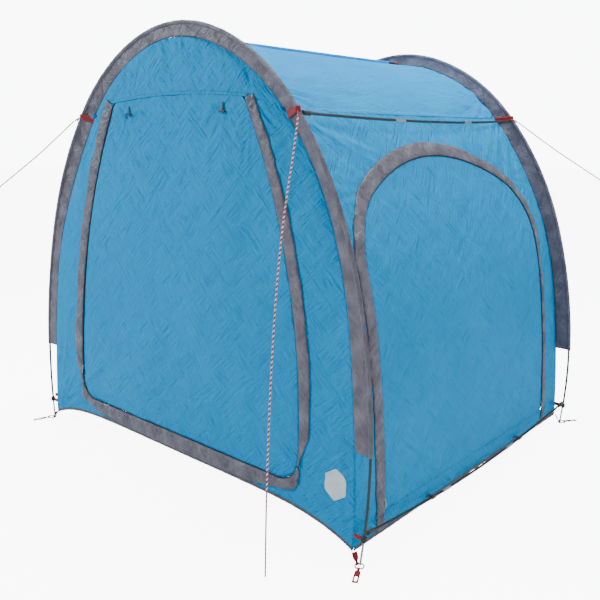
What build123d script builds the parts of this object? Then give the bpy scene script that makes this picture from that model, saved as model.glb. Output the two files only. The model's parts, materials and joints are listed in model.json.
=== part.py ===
from build123d import *
from math import cos, radians, sin, sqrt, tan
import os

os.makedirs("parts", exist_ok=True)

# A freestanding bicycle-storage tent, in millimetres. It stands on z = 0 with the front
# arch towards -Y and the side door towards +X. The origin is under the middle of the tent.

# Driving dimensions
arch_height = 1780.0  # pole centre line, top of each arch
arch_spacing = 1617.0  # between the feet of the two arches
arch_lean = 0.04  # each arch leans in by this share of the height
pole_arcs = ((690.0, 18.2), (865.0, 31.1), (1395.0, 23.6), (2275.0, 25.2))  # radius, angle
fabric_height = 1730.0  # top of the wall panels, where the roof meets them
fabric_arcs = ((636.0, 20.0), (800.0, 31.1), (1467.0, 30.9), (4917.0, 8.05))
fabric = 2.0  # fabric panel
seam_gap = 0.3  # between neighbouring sewn panels

pole_radius = 4.75
pole_bore = 3.2
ferrule_bore = 5.3
ferrule_radius = 5.9
sleeve_bore = 6.4
sleeve_radius = 7.9
sleeve_end = 380.0  # height where the pole sleeves stop
pole_end = 85.0  # height where the arch poles stop, above their pins

eaves_height = 1460.0  # seam between the walls and the roof
shoulder = 1445.0  # height of the guy points on the arches
hem_corner = 35.0
front_hem_rise = 75.0  # the front and rear hems rise quickly from the corners, then run level
hem_width = 12.0

door_top = 1497.0
door_bottom = 187.0
door_side_radius = 2502.7
door_side_centre = (-1826.0, 333.0)
door_corner = 95.0
side_door_half = 635.0
side_door_bottom = 113.0
side_door_shoulder = 927.0
side_door_corner = (290.0, 63.0)  # radius, angle
zip_half = 4.0
zip_gap = 5.0  # from the zip line to the panel on each side
trim_width = 50.0
trim = 1.5

webbing = 2.0
webbing_width = 20.0
guy_radius = 2.5

front_plane = Plane(origin=(0, -arch_spacing / 2, 0), x_dir=(1, 0, 0), z_dir=(0, -1, arch_lean))
rear_plane = Plane(origin=(0, arch_spacing / 2, 0), x_dir=(-1, 0, 0), z_dir=(0, 1, arch_lean))
corners = [(sx, sy) for sx in (1, -1) for sy in (-1, 1)]


def finish(name, part):
    part.label = name
    export_step(part, f"parts/{name}.step")


# Arch outlines


def arc_runs(top, arcs, grow=0.0):
    """start, heading, radius, angle and centre of each arc, from the top down the +X side"""
    point, turned, runs = (0.0, top + grow), 0.0, []
    for radius, angle in arcs:
        r, a = radius + grow, radians(turned)
        centre = (point[0] - r * sin(a), point[1] - r * cos(a))
        runs.append((point, (cos(a), -sin(a)), r, angle, centre))
        turned += angle
        a = radians(turned)
        point = (centre[0] + r * sin(a), centre[1] + r * cos(a))
    return runs


def half_width(top, arcs, height, grow=0.0):
    """distance from the middle of the tent to the arch line at a height"""
    for point, _, r, angle, centre in reversed(arc_runs(top, arcs, grow)):
        if height <= point[1]:
            return centre[0] + sqrt(r * r - (height - centre[1]) ** 2)
    return 0.0


def foot(top, arcs, grow=0.0):
    _, _, r, _, centre = arc_runs(top, arcs, grow)[-1]
    a = radians(sum(angle for _, angle in arcs))
    return centre[0] + r * sin(a), centre[1] + r * cos(a)


def add_arch(top, arcs, grow=0.0):
    for point, heading, r, angle, _ in arc_runs(top, arcs, grow):
        JernArc(start=point, tangent=heading, radius=r, arc_size=-angle)
    mirror(about=Plane.YZ)


def arch_face(top, arcs, grow=0.0):
    with BuildSketch() as face:
        with BuildLine():
            add_arch(top, arcs, grow)
            x, z = foot(top, arcs, grow)
            Line((-x, z), (x, z))
        make_face()
    return face.sketch


def pole_x(height):
    return half_width(arch_height, pole_arcs, height)


def fabric_x(height, grow=0.0):
    return half_width(fabric_height, fabric_arcs, height, grow)


def arch_y(height):
    return arch_spacing / 2 - arch_lean * height


def pole_point(sx, sy, height):
    return Vector(sx * pole_x(height), sy * arch_y(height), height)


under_pole = arch_face(arch_height, pole_arcs, -sleeve_bore - 0.2)
under_fabric = arch_face(fabric_height, fabric_arcs)
under_seam = arch_face(fabric_height, fabric_arcs, -seam_gap)

def hem_points(half_width, height):
    steps = [k / 12 - 1 for k in range(25)]
    return [(half_width * step, height + front_hem_rise * (1 - abs(step) ** 6)) for step in steps]


with BuildSketch() as hem_area:
    x, z = foot(fabric_height, fabric_arcs)
    with BuildLine():
        Spline(*hem_points(x, z + hem_width))
        Polyline((x, z + hem_width), (x + 20, z), (x + 20, 0), (-x - 20, 0), (-x - 20, z), (-x, z + hem_width))
    make_face()
with BuildSketch() as below_hem:
    with BuildLine():
        Spline(*hem_points(x, z))
        Polyline((x, z), (x + 20, z - 10), (x + 20, 0), (-x - 20, 0), (-x - 20, z - 10), (-x, z))
    make_face()

# Door outlines, on their zip lines


def door_half(height):
    return door_side_centre[0] + sqrt(door_side_radius**2 - (height - door_side_centre[1]) ** 2)


middle = (door_top + door_bottom) / 2
with BuildSketch() as front_outline:
    with BuildLine():
        Line((-door_half(door_top), door_top), (door_half(door_top), door_top))
        ThreePointArc(*[(door_half(h), h) for h in (door_top, middle, door_bottom)])
        Line((door_half(door_bottom), door_bottom), (-door_half(door_bottom), door_bottom))
        ThreePointArc(*[(-door_half(h), h) for h in (door_bottom, middle, door_top)])
    make_face()
    fillet(front_outline.vertices().group_by(Axis.Y)[0], door_corner)

with BuildSketch() as side_outline:
    with BuildLine():
        radius, angle = side_door_corner
        x, z = side_door_half, side_door_shoulder
        corner = JernArc(start=(x, z), tangent=(0, 1), radius=radius, arc_size=angle)
        crown_radius = (corner @ 1).X / cos(radians(angle))
        top = (corner @ 1).Y + crown_radius * (1 - sin(radians(angle)))
        RadiusArc(corner @ 1, (0, top), -crown_radius)
        mirror(about=Plane.YZ)
        Polyline((x, z), (x, side_door_bottom), (-x, side_door_bottom), (-x, z))
    make_face()


def grown(outline, amount):
    with BuildSketch() as face:
        offset(outline.sketch, amount, kind=Kind.INTERSECTION)
    return face.sketch


def band(outline, outer, inner, low, high, left=-2000.0, right=2000.0):
    """the strip round a door outline, between two offsets and inside a rectangle"""
    with BuildSketch() as strip:
        add(grown(outline, outer))
        add(grown(outline, inner), mode=Mode.SUBTRACT)
        with Locations(((left + right) / 2, (low + high) / 2)):
            Rectangle(right - left, high - low, mode=Mode.INTERSECT)
    return strip.sketch


# Arch poles and what is in and on them


def arch_path(plane):
    with BuildLine(plane) as path:
        add_arch(arch_height, pole_arcs)
    return path.line


def rod(path, radius, bore=0.0, low=None):
    with BuildPart() as tube:
        with BuildSketch(Plane(origin=path @ 0, z_dir=path % 0)):
            Circle(radius)
            if bore:
                Circle(bore, mode=Mode.SUBTRACT)
        sweep(path=path)
        if low:
            split(bisect_by=Plane.XY.offset(low), keep=Keep.TOP)
    return tube.part


def collar(path, share, radius, bore, length):
    with BuildPart() as tube:
        with BuildSketch(Plane(origin=path @ share, z_dir=path % share)):
            Circle(radius)
            Circle(bore, mode=Mode.SUBTRACT)
        extrude(amount=length / 2, both=True)
    return tube.part


arch_paths = {"front": arch_path(front_plane), "rear": arch_path(rear_plane)}
arch_sections = 8
arch_ferrule_length = 40.0

for end, path in arch_paths.items():
    finish(f"{end}_arch_pole", rod(path, pole_radius, pole_bore, pole_end))

# Spreader poles: eaves and base poles bow out from the corners, the ridge pole is straight
eaves_end = (pole_x(shoulder) + 3, 738.0, 1447.0)
eaves_middle = (684.0, 0.0, 1428.0)
base_end = (pole_x(115.0) - 2, 786.0, 113.0)
base_middle = (951.0, 0.0, 56.0)
ridge_z = fabric_height + sleeve_radius + seam_gap
ridge_end = (0.0, 722.0, ridge_z)
spreader_ends = {"eaves": (eaves_end, eaves_middle), "base": (base_end, base_middle)}
spreader_paths = {}
for name, (end, mid) in spreader_ends.items():
    for side, sx in (("right", 1), ("left", -1)):
        with BuildLine() as bow:
            ThreePointArc((sx * end[0], -end[1], end[2]), (sx * mid[0], 0, mid[2]), (sx * end[0], end[1], end[2]))
        spreader_paths[f"{name}_pole_{side}"] = bow.line
with BuildLine() as ridge:
    Line((0, -ridge_end[1], ridge_z), (0, ridge_end[1], ridge_z))
spreader_paths["ridge_pole"] = ridge.line
for name, path in spreader_paths.items():
    finish(name, rod(path, pole_radius, pole_bore))

with BuildPart() as arch_pole_ferrules:
    for path in arch_paths.values():
        for k in range(1, arch_sections):
            add(collar(path, k / arch_sections, ferrule_radius, ferrule_bore, arch_ferrule_length))
finish("arch_pole_ferrules", arch_pole_ferrules.part)

spreader_ferrule_length = 60.0
with BuildPart() as spreader_pole_ferrules:
    for path in spreader_paths.values():
        for share in (1 / 3, 2 / 3):
            add(collar(path, share, ferrule_radius, pole_radius + 0.15, spreader_ferrule_length))
finish("spreader_pole_ferrules", spreader_pole_ferrules.part)

# Pole sleeves: a tube round the pole with a flat fin that reaches in to the wall seam
fin = 2.4
for end, plane in (("front", front_plane), ("rear", rear_plane)):
    path = arch_paths[end]
    with BuildPart() as sleeve:
        with BuildSketch(plane):
            add(under_pole)
            add(under_fabric, mode=Mode.SUBTRACT)
        extrude(amount=fin / 2, both=True)
        add(rod(path, sleeve_radius, sleeve_bore))
        split(bisect_by=Plane.XY.offset(sleeve_end), keep=Keep.TOP)
    finish(f"{end}_sleeve", sleeve.part)

ridge_sleeve_half = 630.0
with BuildPart() as ridge_sleeve:
    with BuildSketch(Plane.XZ.offset(-ridge_sleeve_half)):
        with Locations((0, ridge_z)):
            Circle(sleeve_radius)
            Circle(sleeve_bore, mode=Mode.SUBTRACT)
    extrude(amount=2 * ridge_sleeve_half)
finish("ridge_sleeve", ridge_sleeve.part)

# Roof and side walls: one bent sheet between the arches, cut at the eaves and the doors
shell_gap = fin / 2 + seam_gap


def bent_sheet(outer, inner, low, high, side=0):
    """the sheet that runs from arch to arch, between two heights, on one side or both"""
    with BuildPart() as sheet:
        with BuildSketch(Plane.XZ):
            add(arch_face(fabric_height, fabric_arcs, outer))
            add(arch_face(fabric_height, fabric_arcs, inner), mode=Mode.SUBTRACT)
        extrude(amount=arch_spacing / 2, both=True)
        for plane in (front_plane, rear_plane):
            split(bisect_by=plane.offset(-shell_gap), keep=Keep.BOTTOM)
        split(bisect_by=Plane.XY.offset(low), keep=Keep.TOP)
        if high < fabric_height:
            split(bisect_by=Plane.XY.offset(high), keep=Keep.BOTTOM)
        if side:
            split(bisect_by=Plane.YZ, keep=Keep.TOP if side > 0 else Keep.BOTTOM)
    return sheet.part


def through_side(outline_sketch, outside=False):
    """a prism through the +X wall, inside an outline or all round it"""
    with BuildPart() as prism:
        with BuildSketch(Plane.YZ.offset(400)):
            if outside:
                Rectangle(4 * arch_height, 4 * arch_height)
                add(outline_sketch, mode=Mode.SUBTRACT)
            else:
                add(outline_sketch)
        extrude(amount=600)
    return prism.part


foot_x, foot_z = foot(fabric_height, fabric_arcs)
side_hem_top = foot_z + hem_width + 2
wall_low, wall_high = side_hem_top + seam_gap, eaves_height - seam_gap
finish("roof", bent_sheet(0, -fabric, eaves_height, 2000))
finish("left_wall", bent_sheet(0, -fabric, wall_low, wall_high, -1))

with BuildPart() as right_wall:
    add(bent_sheet(0, -fabric, wall_low, wall_high, 1))
    add(through_side(grown(side_outline, zip_gap)), mode=Mode.SUBTRACT)
finish("right_wall", right_wall.part)

with BuildPart() as side_door:
    add(bent_sheet(0, -fabric, wall_low, wall_high, 1))
    add(through_side(grown(side_outline, -zip_gap), outside=True), mode=Mode.SUBTRACT)
finish("side_door", side_door.part)


def side_strip(name, rise, thickness, outer, inner, low):
    """a strip of the +X wall between two offsets of the side door's outline"""
    with BuildPart() as strip:
        add(bent_sheet(rise, rise - thickness, low, wall_high, 1))
        add(through_side(grown(side_outline, outer), outside=True), mode=Mode.SUBTRACT)
        add(through_side(grown(side_outline, inner)), mode=Mode.SUBTRACT)
        with Locations((800, 0, low - 100)):
            Box(600, 2 * side_door_half - 60, 400, mode=Mode.SUBTRACT)
    finish(name, strip.part)


side_strip("side_zip", 0, fabric, zip_half, -zip_half, side_door_bottom + 6)
side_strip("side_door_trim", 0.2 + trim, trim, trim_width, zip_gap + 1, side_hem_top + 6)

with BuildPart() as side_hems:
    add(bent_sheet(0.5, -fabric - 0.5, foot_z + 2, side_hem_top))
finish("side_hems", side_hems.part)

# Front and rear walls, flat in the arch planes
with BuildPart() as front_wall:
    with BuildSketch(front_plane):
        add(under_seam)
        add(hem_area.sketch, mode=Mode.SUBTRACT)
        add(grown(front_outline, zip_gap), mode=Mode.SUBTRACT)
    extrude(amount=fabric / 2, both=True)
finish("front_wall", front_wall.part)

with BuildPart() as rear_wall:
    with BuildSketch(rear_plane):
        add(under_seam)
        add(hem_area.sketch, mode=Mode.SUBTRACT)
    extrude(amount=fabric / 2, both=True)
finish("rear_wall", rear_wall.part)

for end, plane in (("front", front_plane), ("rear", rear_plane)):
    with BuildPart() as hem:
        with BuildSketch(plane):
            add(under_seam)
            add(hem_area.sketch, mode=Mode.INTERSECT)
            add(below_hem.sketch, mode=Mode.SUBTRACT)
            x = foot_x - fabric - 4
            Rectangle(2 * x, 500, mode=Mode.INTERSECT)
        extrude(amount=fabric / 2 + 0.5, both=True)
    finish(f"{end}_hem", hem.part)

with BuildPart() as front_door:
    with BuildSketch(front_plane):
        add(grown(front_outline, -zip_gap))
    extrude(amount=fabric / 2, both=True)
finish("front_door", front_door.part)

# Zips and the grey trim beside them. The left zip ends at the lower left corner, and the
# right one runs down the right side and along the bottom to the same corner.
zip_split = 300.0
zip_meet = -500.0
trim_plane = front_plane.offset(fabric / 2 + 0.2)
zip_band, trim_band = (zip_half, -zip_half), (trim_width, zip_gap + 1)
zip_top = door_top - 6
front_strips = {
    "front_zip_left": (front_plane, zip_band, [(100, zip_top, -2000, zip_meet - 1),
                                               (zip_split, zip_top, zip_meet - 2, 0)]),
    "front_zip_right": (front_plane, zip_band, [(100, zip_top, 0, 2000), (100, zip_split, zip_meet, 0)]),
    "front_trim_left": (trim_plane, trim_band, [(zip_split + 1, door_top, -2000, 0)]),
    "front_trim_right": (trim_plane, trim_band, [(zip_split + 1, door_top, 0, 2000)]),
    "front_trim_bottom": (trim_plane, trim_band, [(100, zip_split - 1, -2000, 2000)]),
}
for name, (plane, edges, windows) in front_strips.items():
    with BuildPart() as strip:
        with BuildSketch(plane):
            for window in windows:
                add(band(front_outline, *edges, *window))
        if plane is front_plane:
            extrude(amount=fabric / 2, both=True)
        else:
            extrude(amount=trim)
    finish(name, strip.part)

# A plain light patch near the lower front corner
patch_place = (838.0, 246.0)
with BuildPart() as blank_patch:
    with BuildSketch(front_plane.offset(fabric / 2 + 0.2)):
        with Locations(patch_place):
            RectangleRounded(78, 62, 10)
    extrude(amount=1)
finish("blank_patch", blank_patch.part)

# Zip sliders with their pulls. Each is made on a plane whose X runs along the zip, away
# from the closed end, and whose Z points out of the tent.
slider_size = (20.0, 7.6, 5.0)
pull_size = (26.0, 6.0, 1.6)


def make_slider(name, plane):
    base = fabric / 2 + 0.4
    with BuildPart() as slider:
        with BuildSketch(plane.offset(base)):
            RectangleRounded(slider_size[0], slider_size[1], 2.5)
        extrude(amount=slider_size[2] - 1.5)
        with BuildSketch(plane.offset(base + slider_size[2] - 1.5)):
            RectangleRounded(slider_size[0] * 0.5, 3, 1.4)
        extrude(amount=1.5)
    finish(f"{name}_slider", slider.part)
    with BuildPart() as pull:
        with BuildSketch(plane.offset(base + slider_size[2] + 0.4)):
            with Locations((-pull_size[0] / 2 + 0.8, 0)):
                SlotOverall(pull_size[0], pull_size[1])
            with Locations((-pull_size[0] + 6, 0)):
                Circle(1.5, mode=Mode.SUBTRACT)
        extrude(amount=pull_size[2])
    finish(f"{name}_pull", pull.part)


left_slider_height = 322.0
slope = (left_slider_height - door_side_centre[1]) / door_side_radius
heading = Vector(slope, sqrt(1 - slope**2), 0)
front_left_slider_plane = Plane(
    origin=front_plane.from_local_coords(Vector(-door_half(left_slider_height), left_slider_height, 0)),
    x_dir=front_plane.from_local_coords(heading) - front_plane.origin,
    z_dir=front_plane.z_dir,
)
bottom_slider_x = -480.0
front_right_slider_plane = Plane(
    origin=front_plane.from_local_coords(Vector(bottom_slider_x, door_bottom, 0)),
    x_dir=(1, 0, 0),
    z_dir=front_plane.z_dir,
)
make_slider("front_left", front_left_slider_plane)
make_slider("front_right", front_right_slider_plane)

side_slider_height = 150.0
_, _, lowest_radius, _, lowest_centre = arc_runs(fabric_height, fabric_arcs, -fabric / 2)[-1]
side_x = fabric_x(side_slider_height, -fabric / 2)
outward = Vector(side_x - lowest_centre[0], 0, side_slider_height - lowest_centre[1]).normalized()
for name, sy in (("side_front", -1), ("side_rear", 1)):
    plane = Plane(
        origin=(side_x, sy * side_door_half, side_slider_height),
        x_dir=(-outward.Z, 0, outward.X),
        z_dir=outward,
    )
    make_slider(name, plane)

# Toggles that hold the rolled-up door, each on a short tape below the top seam
toggle_x = 278.0
toggle_drop = 16.0
toggle_out = 7.5
tape_top = door_top - zip_gap - 6
for side, sx in (("left", -1), ("right", 1)):
    at = (sx * toggle_x, tape_top)
    with BuildPart() as toggle:
        with BuildSketch(front_plane.offset(toggle_out)):
            with Locations((at[0], at[1] - 26)):
                SlotOverall(34, 8, rotation=0)
        extrude(amount=3.5, both=True)
        fillet(toggle.edges(), 1.5)
    finish(f"door_toggle_{side}", toggle.part)
    with BuildPart() as tape:
        with BuildSketch(front_plane.offset(fabric / 2 + 0.4)):
            with Locations((at[0], at[1] - 8)):
                Rectangle(10, 26)
        extrude(amount=1.4)
    finish(f"toggle_loop_{side}", tape.part)

# Corner hardware. The steel pin fills the end of the arch pole and ends in an eye round
# the ground ring. The peg loop and the corner strap hold the same ring.
ring_radius = 15.0
ring_wire = 2.5
eye_radius = 5.2
eye_wire = 2.2
ring_height = eye_radius + eye_wire
pin_top = pole_end + 40
outwards = Vector(0.45, -0.89, 0).normalized()


def corner_vector(sx, sy, v):
    """turns a vector made for the front right corner to any corner"""
    return Vector(sx * v.X, -sy * v.Y, v.Z)


def mirrored_corners():
    mirror(about=Plane.YZ)
    mirror(about=Plane.XZ)


pin_foot = pole_point(1, -1, ring_height)
pin_axis = (pole_point(1, -1, pin_top) - pin_foot).normalized()
pole_base = pole_point(1, -1, pole_end)
ring_centre = Vector(pin_foot.X, pin_foot.Y, ring_height) + outwards * ring_radius
tangent = Vector(-outwards.Y, outwards.X, 0)

with BuildPart() as corner_pins:
    with BuildSketch(Plane(origin=pin_foot + pin_axis * eye_radius, z_dir=pin_axis)):
        Circle(pole_radius - 1)
    extrude(amount=(pole_base - pin_foot).length - eye_radius - 1)
    with BuildSketch(Plane(origin=pole_base - pin_axis * 2, z_dir=pin_axis)):
        Circle(pole_bore - 0.7)
    extrude(amount=36)
    with Locations(Plane(origin=pin_foot, z_dir=tangent)):
        Torus(eye_radius, eye_wire)
    mirrored_corners()
finish("corner_pins", corner_pins.part)

with BuildPart() as ground_rings:
    with Locations(Location(ring_centre)):
        Torus(ring_radius, ring_wire)
    mirrored_corners()
finish("ground_rings", ground_rings.part)

clip_height = 97.0
clip_length = 22.0
clip_axis = (pole_point(1, -1, clip_height + 5) - pole_point(1, -1, clip_height - 5)).normalized()
with BuildPart() as pole_clips:
    with BuildSketch(Plane(origin=pole_point(1, -1, clip_height), z_dir=clip_axis)):
        Circle(10)
    extrude(amount=clip_length / 2, both=True)
    fillet(pole_clips.edges(), 6)
    with BuildSketch(Plane(origin=pole_point(1, -1, clip_height), z_dir=clip_axis)):
        Circle(pole_radius + 0.3)
    extrude(amount=clip_length, both=True, mode=Mode.SUBTRACT)
    mirrored_corners()
finish("pole_clips", pole_clips.part)

clip_loop = (fabric_x(clip_height) + 1, pole_x(clip_height) - 10.5)
with BuildPart() as clip_loops:
    with Locations((sum(clip_loop) / 2, -arch_y(clip_height), clip_height)):
        Box(clip_loop[1] - clip_loop[0], webbing, webbing_width - 4)
    mirrored_corners()
finish("clip_loops", clip_loops.part)

# Webbing that folds round the ring wire through a narrow neck
neck_width = 8.0
neck_bore = ring_wire + 0.7
neck_radius = neck_bore + 1.6
peg_loop_length = 70.0
peg_loop_slope = 4.5
peg_slot = (50.0, 26.0, 9.0)  # place, length, width


def webbing_piece(plane, length, slot=None):
    """a strap along the plane's X that narrows to a fold round the wire along its Y"""
    half = webbing_width / 2
    fold = Location(plane) * Location((0, 0, 0), (90, 0, 0))
    with BuildPart() as piece:
        with BuildSketch(plane):
            Polygon(
                (0, -neck_width / 2), (neck_radius + 3, -neck_width / 2), (neck_radius + 12, -half),
                (length, -half), (length, half), (neck_radius + 12, half), (neck_radius + 3, neck_width / 2),
                (0, neck_width / 2),
                align=None,
            )
            if slot:
                with Locations((slot[0], 0)):
                    SlotOverall(slot[1], slot[2], mode=Mode.SUBTRACT)
        extrude(amount=webbing / 2 + 0.1, both=True)
        with Locations(fold):
            Cylinder(neck_radius, neck_width)
            Cylinder(neck_bore, neck_width * 3, mode=Mode.SUBTRACT)
    return piece.part


for sx, sy in corners:
    name = f"peg_loop_{'front' if sy < 0 else 'rear'}_{'right' if sx > 0 else 'left'}"
    out = corner_vector(sx, sy, outwards)
    drop = radians(peg_loop_slope)
    plane = Plane(
        origin=corner_vector(sx, sy, ring_centre + outwards * ring_radius),
        x_dir=out * cos(drop) - Vector(0, 0, sin(drop)),
        z_dir=out * sin(drop) + Vector(0, 0, cos(drop)),
    )
    finish(name, webbing_piece(plane, peg_loop_length, peg_slot))

strap_goal = Vector(fabric_x(50), -arch_y(50), 50)
strap_way = Vector(strap_goal.X - ring_centre.X, strap_goal.Y - ring_centre.Y, 0).normalized()
strap_start = ring_centre + strap_way * ring_radius
strap_run = strap_goal - strap_start
strap_line = strap_run.normalized()
strap_normal = strap_line.cross(Vector(0, 0, 1).cross(strap_way)).normalized()
with BuildPart() as corner_straps:
    add(webbing_piece(Plane(origin=strap_start, x_dir=strap_line, z_dir=strap_normal), strap_run.length - 12))
    mirrored_corners()
finish("corner_straps", corner_straps.part)

# Pockets that take the ends of the spreader poles
pocket_radius = 8.0
pocket_length = 34.0
pocket_end = 2.0
with BuildPart() as pole_pockets:
    for path in spreader_paths.values():
        for end, way in ((path @ 0, path % 0), (path @ 1, (path % 1) * -1)):
            with BuildSketch(Plane(origin=end - way * (pocket_end + 0.3), z_dir=way)):
                Circle(pocket_radius)
            extrude(amount=pocket_length)
    for path in spreader_paths.values():
        for end, way in ((path @ 0, path % 0), (path @ 1, (path % 1) * -1)):
            with BuildSketch(Plane(origin=end - way * 0.3, z_dir=way)):
                Circle(pole_radius + 0.3)
            extrude(amount=pocket_length, mode=Mode.SUBTRACT)
finish("pole_pockets", pole_pockets.part)

# Fabric loops that hold the base poles to the side hems
base_loop_y = 360.0
base_loop_width = 22.0
base_loop_radius = 7.4
with BuildPart() as base_pole_loops:
    for side, sx in (("right", 1), ("left", -1)):
        path = spreader_paths[f"base_pole_{side}"]
        for sy in (-1, 1):
            share = 0.5 + sy * base_loop_y / (2 * base_end[1])
            centre, way = path @ share, path % share
            tab = (abs(centre.X) - 6 - fabric_x(centre.Z) - 4, fabric_x(centre.Z) + 4)
            with BuildSketch(Plane(origin=centre, z_dir=way)):
                Circle(base_loop_radius)
            extrude(amount=base_loop_width / 2, both=True)
            with Locations((sx * (tab[1] + tab[0] / 2), centre.Y, centre.Z)):
                Box(tab[0], base_loop_width, 1.6)
            with BuildSketch(Plane(origin=centre, z_dir=way)):
                Circle(pole_radius + 0.4)
            extrude(amount=base_loop_width, both=True, mode=Mode.SUBTRACT)
finish("base_pole_loops", base_pole_loops.part)

# Guy points on the shoulders: a webbing triangle with an eye, whose tip points down and out
arch_tangent = (pole_point(1, -1, shoulder + 5) - pole_point(1, -1, shoulder - 5)).normalized()
guy_way = Vector(arch_tangent.Z * 0.35, -0.94, -arch_tangent.X * 0.35)
guy_way = (guy_way - arch_tangent * guy_way.dot(arch_tangent)).normalized()
guy_plane = Plane(origin=pole_point(1, -1, shoulder), x_dir=guy_way, z_dir=guy_way.cross(arch_tangent))
with BuildPart() as guy_loops:
    with BuildSketch(guy_plane):
        Polygon((sleeve_radius + 1, -9), (21, -17), (24, -9), (sleeve_radius + 1, 9), align=None)
        with Locations((17.0, -9.0)):
            Circle(2.8, mode=Mode.SUBTRACT)
    extrude(amount=1.5, both=True)
    mirrored_corners()
finish("guy_loops", guy_loops.part)

# Guy lines, each along a route of straight runs joined by tangent arcs
guy_start = guy_plane.from_local_coords(Vector(26.0, -16.0, 0))
guy_routes = {
    "guy_line_front_right": [
        (guy_start.X, guy_start.Y, guy_start.Z), (667, -810, 1330), (689, -869, 1195), (708, -917, 1055),
        (725, -956, 910), (740, -988, 762), (752, -1014, 612), (761, -1034, 460), (767, -1049, 306),
        (770, -1059, 152), (771, -1064, 4),
    ],
    "guy_line_front_left": [
        (-guy_start.X, guy_start.Y, guy_start.Z), (-741, -865, 1324), (-833, -961, 1219), (-926, -1058, 1116),
    ],
    "guy_line_rear_right": [
        (guy_start.X, -guy_start.Y, guy_start.Z), (770, 872, 1331), (888, 978, 1232), (1007, 1085, 1134),
    ],
}


def route_tube(name, points):
    """a tube along the route, with each arc as large as its two runs allow"""
    points = [Vector(*p) for p in points]
    runs = [b - a for a, b in zip(points, points[1:])]
    radii = []
    for before, after in zip(runs, runs[1:]):
        half_turn = radians(before.get_angle(after)) / 2
        radii.append(0.45 * min(before.length, after.length) / tan(half_turn))
    with BuildLine() as route:
        FilletPolyline(*points, radius=radii)
    with BuildPart() as tube:
        with BuildSketch(Plane(origin=route.line @ 0, z_dir=route.line % 0)):
            Circle(guy_radius)
        sweep(path=route.line)
    print(f"{name}: length {route.wires()[0].length:.0f}, arc radii", [round(r) for r in radii])
    finish(name, tube.part)
    return runs[-1].normalized()


line_ends = {name: (Vector(*route[-1]), route_tube(name, route)) for name, route in guy_routes.items()}

# The two taut lines end in a knotted loop
knot_radius = 7.0
end_loop_radius = 14.0
for corner in ("front_left", "rear_right"):
    end, way = line_ends[f"guy_line_{corner}"]
    across = way.cross(Vector(0, 0, 1)).normalized()
    with BuildPart() as end_loop:
        with Locations(Location(end + way * (knot_radius + 0.2))):
            Sphere(knot_radius)
        with Locations(Plane(origin=end + way * (knot_radius + end_loop_radius + 4), z_dir=across)):
            Torus(end_loop_radius, guy_radius)
    finish(f"guy_end_loop_{corner}", end_loop.part)
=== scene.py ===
import json
import math

import bmesh
import bpy
import numpy as np
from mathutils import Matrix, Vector


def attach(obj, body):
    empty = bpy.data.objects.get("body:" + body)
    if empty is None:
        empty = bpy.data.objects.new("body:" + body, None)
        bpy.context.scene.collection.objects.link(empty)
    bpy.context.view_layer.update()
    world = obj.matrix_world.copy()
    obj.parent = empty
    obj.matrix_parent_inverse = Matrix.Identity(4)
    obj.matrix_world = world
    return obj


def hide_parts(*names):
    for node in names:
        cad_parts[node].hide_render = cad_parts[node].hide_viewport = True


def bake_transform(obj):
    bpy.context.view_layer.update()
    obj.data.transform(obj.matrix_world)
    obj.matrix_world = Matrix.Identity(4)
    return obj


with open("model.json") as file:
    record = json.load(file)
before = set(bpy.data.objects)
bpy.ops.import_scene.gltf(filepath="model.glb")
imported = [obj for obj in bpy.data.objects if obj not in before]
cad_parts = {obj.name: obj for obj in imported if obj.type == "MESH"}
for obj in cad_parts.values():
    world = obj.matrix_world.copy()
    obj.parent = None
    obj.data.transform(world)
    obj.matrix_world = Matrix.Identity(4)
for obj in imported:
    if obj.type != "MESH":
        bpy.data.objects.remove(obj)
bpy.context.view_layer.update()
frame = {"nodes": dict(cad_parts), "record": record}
nodes = frame["nodes"]
frameBody = "frame_and_canopy"
print("frame loaded")

# camera first, then the guy lines

viewpoint = {"place": (2.2097, -2.5093, 1.3689), "tilt": 77.25, "turn": 41.953, "lens": 43.06, "shift": 0.00366}
camera = bpy.data.objects.new("camera", bpy.data.cameras.new("camera"))
bpy.context.scene.collection.objects.link(camera)
camera.location = viewpoint["place"]
camera.rotation_euler = (math.radians(viewpoint["tilt"]), 0, math.radians(viewpoint["turn"]))
camera.data.lens = viewpoint["lens"]
camera.data.sensor_width = 36
camera.data.shift_x = viewpoint["shift"]
bpy.context.scene.camera = camera


# node helpers

def newGroup(name, inputs, outputs):
    group = bpy.data.node_groups.new(name, "ShaderNodeTree")
    for label, kind, value in inputs:
        socket = group.interface.new_socket(name=label, in_out="INPUT", socket_type=kind)
        if value is not None:
            socket.default_value = value
    for label, kind in outputs:
        group.interface.new_socket(name=label, in_out="OUTPUT", socket_type=kind)
    return group, group.nodes.new("NodeGroupInput"), group.nodes.new("NodeGroupOutput")


def put(tree, kind, links=(), **values):
    node = tree.nodes.new(kind)
    for key, value in values.items():
        setattr(node, key, value)
    for socket, source in dict(links).items():
        if isinstance(source, bpy.types.NodeSocket):
            tree.links.new(source, node.inputs[socket])
        else:
            node.inputs[socket].default_value = source
    return node


def calc(tree, operation, a, b=0.0):
    return put(tree, "ShaderNodeMath", {0: a, 1: b}, operation=operation).outputs[0]


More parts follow.
